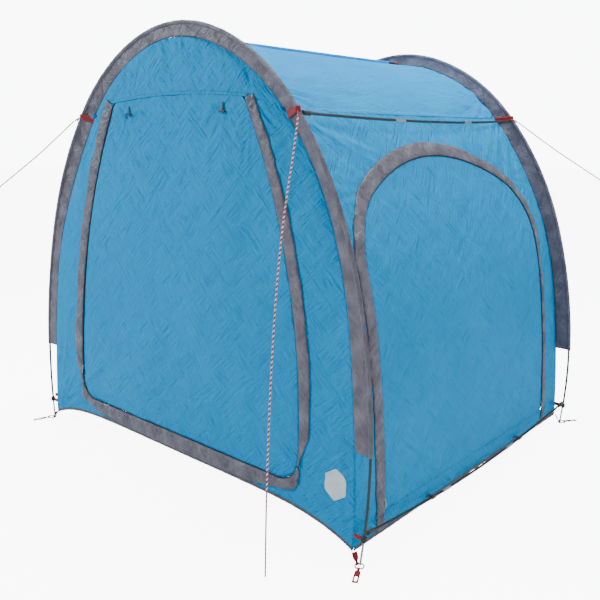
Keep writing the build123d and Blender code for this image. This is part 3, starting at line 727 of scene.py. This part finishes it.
def roofCrease(u, v):
    h = 0.0022 * slant(u, v, 0.05, 0.45, 0.05, 91) + 0.0018 * slant(u, v, 2.9, 0.3, 0.04, 92)
    h += 0.0012 * slant(u, v, 0.2, 0.12, 0.03, 93)
    for y in (-1, 1):
        for t in (-1, 1):
            h += fan(u, v, (y * 0.74, t * 0.53), 0.38, 44, 0.0055, 95 + y + 3 * t)
    span = np.clip(1 - (u / 0.74) ** 2, 0, 1)
    sag = np.exp(-(((np.abs(v) - 0.27) / 0.17) ** 2))
    return h - 0.012 * span * sag - 0.002 * span


shape = (130, 190)
flatU, flatV = np.meshgrid(np.linspace(-1, 1, shape[1]) * archY(1.6),
                           np.linspace(-roofLength[-1] / 2, roofLength[-1] / 2, shape[0]))
flat = np.stack([flatU.ravel(), flatV.ravel()], 1)
roof, cut = panel("roof_cloth", flat, shape, roofPlace, roofCrease, cloth["litRoofTaffeta"])
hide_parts("roof")
print("side walls and roof hung")


# strips: zip flaps, hems, seams and sleeves are long bands between two lines

def band(name, first, second, material, slotName, rests, node=None, across=8, ruffle=None, thick=0.0012, facing=None):
    n = len(first)
    t = np.linspace(0, 1, across + 1)
    points = first[:, None] * (1 - t)[None, :, None] + second[:, None] * t[None, :, None]
    width = np.linalg.norm(second - first, axis=1)
    s = along((first + second) / 2)
    alongWay = np.gradient(points, axis=0)
    acrossWay = np.gradient(points, axis=1)
    normal = np.cross(alongWay, acrossWay)
    normal /= np.maximum(np.linalg.norm(normal, axis=2), 1e-12)[..., None]
    if facing is not None:
        normal *= np.sign(np.median(normal @ np.array(facing, float)))
    u = (t[None, :] - 0.5) * width[:, None] + 0 * s[:, None]
    v = s[:, None] + 0 * t[None, :]
    if ruffle:
        points = points + normal * ruffle(u, v, t[None, :] + 0 * v)[..., None]
    mesh = meshFrom(name, points.reshape(-1, 3), gridFaces(n, across + 1), np.stack([u.ravel(), v.ravel()], 1))
    piece = link(name, mesh, material)
    layer = piece.modifiers.new("thickness", "SOLIDIFY")
    layer.thickness = thick
    layer.offset = 0
    if node:
        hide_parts(node)


def gathers(height, size, seed, edge=0.0, out=0.0):
    def ruffle(u, v, t):
        sharp = 1 - 2 * np.abs(slant(u, v, 0.75, size * 3.2, size, seed))
        soft = slant(u, v, 2.3, size * 4, size * 1.4, seed + 1)
        held = np.clip(np.minimum(t, 1 - t) * 6 + edge, 0, 1)
        return (height * sharp + height * 0.8 * soft + out * height) * held
    return ruffle


flap = {"lift": 0.0032, "height": 0.0030, "size": 0.012}


def widthAt(s, knots):
    return np.interp(s, [k[0] for k in knots], [k[1] for k in knots])


def outwardEdge(line, width):
    way = np.gradient(line, axis=0)
    way /= np.linalg.norm(way, axis=1)[:, None]
    normal = np.stack([way[:, 1], -way[:, 0]], 1)
    return line + normal * np.asarray(width)[:, None]


def onFront(x, v, lift=flap["lift"]):
    out = np.array((0, -1, arch["lean"])) / math.hypot(1, arch["lean"])
    return frontPlace(x, v) + out * (frontCrease(x, v) + lift)[:, None]


def frontBand(name, line, width, sign, seed, node):
    outer = outwardEdge(line, width)
    a, b = onFront(sign * line[:, 0], line[:, 1]), onFront(sign * outer[:, 0], outer[:, 1])
    ruffle = gathers(flap["height"], flap["size"], seed, 0.0, 1.0)
    band(name, a, b, cloth["greyTrim"], "grey_trim", ["front_wall_cloth"], node, 9, ruffle, facing=(0, -1, 0))
    return a, b


half = doorHalf(0.0, 700)
lowStart = int(np.argmin(np.abs(half[:, 1] - 0.262)))
upright = half[:lowStart + 1]
uprightS = along(upright)
total = uprightS[-1]
rightWidth = widthAt(uprightS, [(0, 0.052), (0.1, 0.055), (0.45, 0.057), (0.75, 0.054), (0.95, 0.050), (1.1, 0.062),
                                (total - 0.09, 0.046), (total, 0.014)])
leftWidth = widthAt(uprightS, [(0, 0.040), (0.2, 0.046), (0.6, 0.05), (0.95, 0.052), (total - 0.11, 0.046),
                               (total - 0.03, 0.010), (total, 0.006)])
stitchLines = []
stitchLines += frontBand("front_flap_right", upright, -rightWidth, -1, 101, "front_trim_right")
stitchLines += frontBand("front_flap_left", upright, -leftWidth, 1, 107, "front_trim_left")
lower = half[lowStart + 2:]
bottom = np.vstack([lower, (lower * (-1, 1))[::-1][1:]])
bottomS = along(bottom)
bottomWidth = widthAt(bottomS, [(0, 0.010), (0.05, 0.044), (0.10, 0.034), (0.2, 0.058), (0.45, 0.064), (0.8, 0.068),
                                (1.15, 0.060), (1.3, 0.036), (bottomS[-1] - 0.06, 0.042), (bottomS[-1], 0.008)])
stitchLines += frontBand("front_flap_bottom", bottom, -bottomWidth, -1, 113, "front_trim_bottom")


sideReach = sideHalf(0.0, 520, side["low"] + 0.008)
sideLine = np.vstack([sideReach[::-1], (sideReach * (-1, 1))[1:]])
sideS = along(sideLine)
sideWidth = widthAt(sideS, [(0, 0.030), (0.4, 0.026), (0.78, 0.016), (0.9, 0.034), (1.2, 0.040), (1.5, 0.05),
                            (2.0, 0.052), (2.4, 0.055), (sideS[-1], 0.05)])
sideOuter = outwardEdge(sideLine, sideWidth)


def onSide(y, z):
    lift = np.maximum(sideCrease(y, z), -0.004) + flap["lift"]
    slope = np.arctan2(clothX(z - 0.004) - clothX(z + 0.004), 0.008)
    return rightPlace(y, z) + np.stack([lift * np.cos(slope), 0 * y, lift * np.sin(slope)], 1)


sideInnerEdge, sideOuterEdge = onSide(sideLine[:, 0], sideLine[:, 1]), onSide(sideOuter[:, 0], sideOuter[:, 1])
band("side_flap", sideInnerEdge, sideOuterEdge, cloth["greyTrim"], "grey_trim", ["right_wall_cloth"], "side_door_trim",
     9, gathers(flap["height"], flap["size"], 121, 0.0, 1.0), facing=(1, 0, 0))
stitchLines.append(sideOuterEdge)
print("zip flaps sewn")


# pole sleeves: a puckered fin from the wall seam, and a tube round the pole

sleeve = {"end": 0.38, "radius": 0.0076, "gather": 0.0020, "size": 0.014, "halfRows": 550, "sides": 14}


def wholeArch(line, low, count):
    half = evenly(line[line[:, 1] >= low], count)
    return np.vstack([(half * (-1, 1))[::-1], half[1:]])


def poleSleeve(name, sign, node):
    n = sleeve["halfRows"]
    inner, outer = wholeArch(clothLine, sleeve["end"], n), wholeArch(poleLine, sleeve["end"], n)
    place = inPlane(sign)
    a, b = endWall(sign)(inner[:, 0], inner[:, 1]), place(outer[:, 0], outer[:, 1])
    band(name, a, b, cloth["greyTrim"], "grey_trim", [node.split("_")[0] + "_arch_pole"], node,
         ruffle=gathers(sleeve["gather"], sleeve["size"], 131))
    pucker = lambda s, t: sleeve["radius"] + 0.0006 * cloud(s / 0.012 + 3, t * 1.2 + 3, 141) + 0 * s
    points, faces, s, t = tube(b, sleeve["radius"], sleeve["sides"], pucker)
    uv = np.stack([np.tile(t * sleeve["radius"], len(s)), np.repeat(s, len(t))], 1)
    mesh = meshFrom(name + "_tube", points, faces[:-2], uv)
    wrap = link(name + "_tube", mesh, cloth["greyTrim"])
    stitchLines.append(a * 0.94 + b * 0.06)


poleSleeve("front_sleeve_fin", -1, "front_sleeve")
poleSleeve("rear_sleeve_fin", 1, "rear_sleeve")
ridgeSleeve = {"height": 1.7382, "half": 0.63, "radius": 0.0078, "rows": 260}
ridge = evenly(np.array([(0, y, ridgeSleeve["height"]) for y in (-ridgeSleeve["half"], ridgeSleeve["half"])], float),
               ridgeSleeve["rows"])
points, faces, s, t = tube(ridge, ridgeSleeve["radius"], sleeve["sides"],
                           lambda s, t: ridgeSleeve["radius"] + 0.0005 * cloud(s / 0.015 + 3, t * 1.2 + 3, 151))
uv = np.stack([np.tile(t * ridgeSleeve["radius"], len(s)), np.repeat(s, len(t))], 1)
# the ridge tube takes the roof cloth, so it carries the same painted light from above
ridgeTube = link("ridge_sleeve_tube", meshFrom("ridge_sleeve_tube", points, faces[:-2], uv), cloth["litRoofTaffeta"])
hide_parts("ridge_sleeve")
print("sleeves sewn")


# hems and seams

x = np.linspace(-clothFoot[0] + 0.004, clothFoot[0] - 0.004, 420)
for end, sign in (("front", -1), ("rear", 1)):
    place = inPlane(sign)
    band(end + "_hem_tape", place(x, hemZ(x)), place(x, hemZ(x) + hem["width"]), cloth["hemBinding"], "hem_binding",
         [end + "_wall_cloth"], end + "_hem", 4, gathers(0.0008, 0.012, 161, 1.0), 0.003)
low, high = float(clothFoot[1]) + 0.002, side["low"] + 0.003
y = np.linspace(-archY(low) + 0.004, archY(low) - 0.004, 360)
for hand, sign, node in (("right", 1, "side_hems"), ("left", -1, None)):
    place = overArch(sign)
    band("side_hem_tape_" + hand, place(y, low + 0 * y), place(y, high + 0 * y), cloth["hemBinding"], "hem_binding",
         [hand + "_wall_cloth"], node, 4, gathers(0.0008, 0.012, 171, 1.0), 0.003)
y = np.linspace(-archY(side["eaves"]) + 0.003, archY(side["eaves"]) - 0.003, 360)
for hand, sign in (("right", 1), ("left", -1)):
    place = overArch(sign, 0.0008)
    low, stitches, high = (place(y, side["eaves"] + rise + 0 * y) for rise in (-0.006, -0.003, 0.006))
    # the eaves seams take the roof cloth, so they carry the same painted light from above
    band("eaves_seam_" + hand, low, high, cloth["litRoofTaffeta"], "roof_taffeta", ["roof_cloth"], None, 4,
         gathers(0.0006, 0.012, 181, 1.0), 0.0016)
    stitchLines.append(stitches)
seamX = np.linspace(-0.40, 0.40, 200)
seamTop = inPlane(-1, 0.0012)
low, stitches, high = (seamTop(seamX, seamZ(seamX) + rise) for rise in (-0.004, 0.003, 0.006))
band("door_top_seam", low, high, cloth["wallTaffeta"], "wall_taffeta", ["front_wall_cloth"], None, 3,
     gathers(0.0006, 0.012, 191, 1.0), 0.0016)
stitchLines.append(stitches)
print("hems and seams sewn")


# a plain printed patch, on the wall near the lower front corner

patch = {"centre": (0.844, 0.248), "size": (0.088, 0.114), "round": 0.005, "lift": 0.0009}


def patchOutline():
    w, h = patch["size"][0] / 2, patch["size"][1] / 2
    points = []
    for turn in range(6):
        a = math.radians(90 - 60 * turn)
        corner = np.array((w * 1.15 * math.cos(a), h * math.sin(a)))
        for side in (-1, 1):
            b = math.radians(90 - 60 * (turn + side))
            other = np.array((w * 1.15 * math.cos(b), h * math.sin(b)))
            points.append(corner + (other - corner) * patch["round"] / np.linalg.norm(other - corner))
    return np.array(points) + patch["centre"]


px, pz = (a.ravel() for a in np.meshgrid(*(c + np.linspace(-0.066, 0.066, 48) for c in patch["centre"])))
patchPiece, cut = panel("plain_patch", np.stack([px, pz], 1), (48, 48), lambda x, v: onFront(x, v, patch["lift"]),
                        lambda u, v: 0 * u, hard["patch"], patchOutline(), True, thick=0.0005)
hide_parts("blank_patch")


# red webbing over each sleeve at the shoulder, under the guy loop

shoulder = {"height": 1.445, "wide": 0.034, "narrow": 0.020, "inner": 0.006, "outer": 0.012, "clear": 0.0092}
for frontOrRear, sign in (("front", -1), ("rear", 1)):
    for leftOrRight, sx in (("left", -1), ("right", 1)):
        inner = clothLine[np.argmin(np.abs(clothLine[:, 1] - shoulder["height"]))]
        outer = poleLine[np.argmin(np.abs(poleLine[:, 1] - shoulder["height"] - 0.012))]
        across = (outer - inner) / np.linalg.norm(outer - inner)
        down = np.array((across[1], -across[0]))
        reachOut = np.linalg.norm(outer - inner)
        bend = np.linspace(0, math.pi, 9)[1:-1]
        straight, rise = np.linspace(-shoulder["inner"], reachOut, 12), np.linspace(0.003, shoulder["clear"], 12)
        t = np.concatenate([straight, reachOut + shoulder["outer"] * np.sin(bend), straight[::-1]])
        lift = np.concatenate([rise, shoulder["clear"] * np.cos(bend), -rise[::-1]])
        half = np.interp(t, [0, reachOut], [shoulder["wide"] / 2, shoulder["narrow"] / 2])
        sides = []
        for k in (-1, 1):
            flatPoints = inner + across * t[:, None] + down * (k * half)[:, None]
            place = inPlane(sign)(-sign * sx * flatPoints[:, 0], flatPoints[:, 1])
            drawn = sign * arch["pull"] * np.clip(1 - t / reachOut, 0, 1)
            sides.append(place + np.array((0, sign, 0)) * lift[:, None] - np.array((0, 1, 0)) * drawn[:, None])
        band(f"shoulder_webbing_{frontOrRear}_{leftOrRight}", *sides, tape["redWebbing"], "red_webbing",
             [frontOrRear + "_arch_pole"], across=4, thick=0.0014)


# topstitching: one short dash every few millimetres

stitch = {"step": 0.0055, "long": 0.0034, "wide": 0.0007, "high": 0.0006, "lift": 0.0016}


def stitched(name, lines, body=frameBody):
    points, faces = [], []
    for line in lines:
        spots = evenly(np.asarray(line), max(4, int(along(np.asarray(line))[-1] / stitch["step"])))
        way = np.gradient(spots, axis=0)
        way /= np.maximum(np.linalg.norm(way, axis=1), 1e-9)[:, None]
        out = spots * (1, 1, 0)
        out /= np.maximum(np.linalg.norm(out, axis=1), 1e-9)[:, None]
        cross = np.cross(way, out)
        cross /= np.maximum(np.linalg.norm(cross, axis=1), 1e-9)[:, None]
        up = np.cross(cross, way)
        for p, w, c, h in zip(spots, way, cross, up):
            base = len(points)
            p = p + h * stitch["lift"]
            for a, b, k in ((-0.5, 0, 0), (0, -0.5, 0), (0.5, 0, 0), (0, 0.5, 0), (0, 0, 1)):
                points.append(p + w * a * stitch["long"] + c * b * stitch["wide"] + h * k * stitch["high"])
            faces += [(base, base + 1, base + 4), (base + 1, base + 2, base + 4), (base + 2, base + 3, base + 4),
                      (base + 3, base, base + 4), (base + 3, base + 2, base + 1, base)]
    points = np.array(points)
    return link(name, meshFrom(name, points, faces, points[:, [0, 2]]), cloth["thread"], body)


stitched("topstitching", stitchLines)
print("topstitching done")


# webbing and small soft pieces: the part's own shapes, relaxed and slightly uneven

def relaxed(node, name, material, body, size=0.005, amount=0.0005):
    mesh = nodes[node].data.copy()
    mesh.materials.clear()
    bm = bmesh.new()
    bm.from_mesh(mesh)
    bmesh.ops.remove_doubles(bm, verts=bm.verts, dist=1e-6)
    bmesh.ops.dissolve_limit(bm, angle_limit=0.02, verts=bm.verts, edges=bm.edges)
    bmesh.ops.triangulate(bm, faces=bm.faces)
    for _ in range(5):
        long = [e for e in bm.edges if e.calc_length() > size]
        if not long:
            break
        bmesh.ops.subdivide_edges(bm, edges=long, cuts=1)
        bmesh.ops.triangulate(bm, faces=[f for f in bm.faces if len(f.verts) > 3])
    bm.normal_update()
    co = np.array([v.co for v in bm.verts])
    shift = amount * (cloud(co[:, 0] / 0.012 + co[:, 2] / 0.019, co[:, 1] / 0.012 + co[:, 2] / 0.013, 201))
    for vertex, amountHere in zip(bm.verts, shift):
        vertex.co += vertex.normal * float(amountHere)
    bm.to_mesh(mesh)
    bm.free()
    piece = link(name, mesh, material, body)
    mesh.set_sharp_from_angle(angle=math.radians(50))
    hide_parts(node)
    return piece


nodeBody = {n: b for b, members in frame["record"]["behaviour"]["bodies"].items() for n in members}
redNodes = ["guy_loops", "clip_loops", "corner_straps", "pole_pockets"]
greyNodes = ["base_pole_loops", "toggle_loop_left", "toggle_loop_right"]
pegNodes = ["peg_loop_front_right", "peg_loop_front_left", "peg_loop_rear_right", "peg_loop_rear_left"]
for node in redNodes + greyNodes + pegNodes:
    look, slotName = ("greyWebbing", "grey_trim") if node in greyNodes else ("redWebbing", "red_webbing")
    piece = relaxed(node, node + "_sewn", tape[look], nodeBody[node])
    if node == "pole_pockets":
        piece.data.materials.append(tape["greyWebbing"])
        for face in piece.data.polygons:
            place = face.center
            face.material_index = 0 if place.z > 1.6 or (place.z > 1.3 and place.y > 0) else 1
print("webbing sewn")


# hard pieces keep the part's shape and get their finish

finishes = {
    "pole": ["front_arch_pole", "rear_arch_pole", "eaves_pole_right", "eaves_pole_left", "base_pole_right",
             "base_pole_left", "ridge_pole"],
    "ferrule": ["arch_pole_ferrules", "spreader_pole_ferrules"],
    "steel": ["corner_pins", "ground_rings", "front_left_slider", "front_left_pull", "front_right_slider",
              "front_right_pull", "side_front_slider", "side_front_pull", "side_rear_slider", "side_rear_pull"],
    "blackPlastic": ["pole_clips", "door_toggle_left", "door_toggle_right"],
    "zipCoil": ["front_zip_left", "front_zip_right", "side_zip"],
}
for look, members in finishes.items():
    for member in members:
        data = nodes[member].data
        if not data.materials:
            data.materials.append(hard[look])
        for k in range(len(data.materials)):
            data.materials[k] = hard[look]
for end in guyEnds.values():
    for k in range(len(nodes[end].data.materials)):
        nodes[end].data.materials[k] = tape["redWebbing"]
print("finishes set")


# floor and light

studio = {"floor": 30.0, "floorColour": (0.93, 0.93, 0.93), "floorWorn": (0.90, 0.90, 0.90), "glow": 8.5,
          "world": (0.95, 0.97, 1.0), "worldStrength": 0.34, "backdrop": 10.0, "aim": (0, 0, 0.8)}
floorMesh = bpy.data.meshes.new("floor")
reach = studio["floor"]
floorMesh.from_pydata([(x, y, 0) for x, y in ((-reach, -reach), (reach, -reach), (reach, reach), (-reach, reach))],
                      [], [(0, 1, 2, 3)])
floor = bpy.data.objects.new("floor", floorMesh)
bpy.context.scene.collection.objects.link(floor)
floorLook, tree, shader = startMaterial("floor", 0.8)
coloured(tree, tree.nodes.new("ShaderNodeTexCoord").outputs["Object"], shader, studio["floorColour"],
         studio["floorWorn"], 0.5, 0.4)
shader.inputs["Emission Color"].default_value = (1, 1, 1, 1)
watched = put(tree, "ShaderNodeLightPath").outputs["Is Camera Ray"]
tree.links.new(calc(tree, "MULTIPLY", watched, studio["glow"]), shader.inputs["Emission Strength"])
floorMesh.materials.append(floorLook)

world = bpy.data.worlds.new("studio")
world.use_nodes = True
world.node_tree.nodes["Background"].inputs[0].default_value = (*studio["world"], 1)
seen = put(world.node_tree, "ShaderNodeLightPath").outputs["Is Camera Ray"]
level = put(world.node_tree, "ShaderNodeMapRange", {0: seen, 3: studio["worldStrength"], 4: studio["backdrop"]})
world.node_tree.links.new(level.outputs[0], world.node_tree.nodes["Background"].inputs[1])
bpy.context.scene.world = world

lamps = {"overhead": ((0.2, 0.2, 4.6), 2.6, 200, (0.88, 0.98, 1.0)),
         "frontLeft": ((-3.2, -3.4, 3.4), 1.1, 180, (0.84, 0.98, 1.0)),
         "right": ((4.4, 1.4, 3.2), 1.1, 85, (0.84, 0.98, 1.0)),
         "frontRight": ((3.4, -4.2, 2.6), 1.4, 22, (0.90, 0.98, 1.0))}
for name, (place, size, power, colour) in lamps.items():
    lamp = bpy.data.lights.new(name, "AREA")
    lamp.shape, lamp.size, lamp.energy, lamp.color = "DISK", size, power, colour
    holder = bpy.data.objects.new(name, lamp)
    bpy.context.scene.collection.objects.link(holder)
    holder.location = place
    holder.rotation_euler = (Vector(studio["aim"]) - Vector(place)).to_track_quat("-Z", "Y").to_euler()
print("studio lit")
